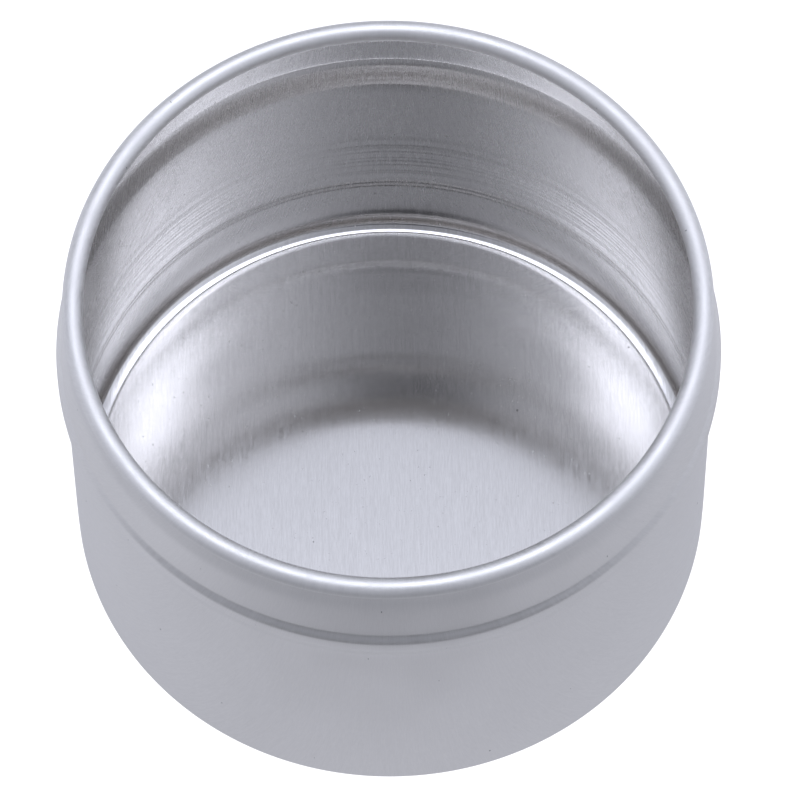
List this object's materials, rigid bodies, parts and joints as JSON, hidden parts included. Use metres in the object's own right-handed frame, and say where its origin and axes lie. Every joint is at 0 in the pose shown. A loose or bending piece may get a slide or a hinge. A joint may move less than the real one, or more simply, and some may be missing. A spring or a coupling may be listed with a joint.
{
  "type": "candle tin",
  "caption": "Open round seamless metal tin with a rolled-in rim, a short neck and a stop bead, for a poured candle.",
  "frame": {"origin": "centre of the base's underside, where the tin stands", "axes": "+Z is the tin's axis, from the base up to the open rim"},
  "size_m": [0.0776, 0.0776, 0.0509],
  "materials": {
    "tin_metal": "satin tinplate with fine rolling streaks"
  },
  "bodies": {
    "root": {"tin_body": "tin_metal"}
  },
  "joints": []
}
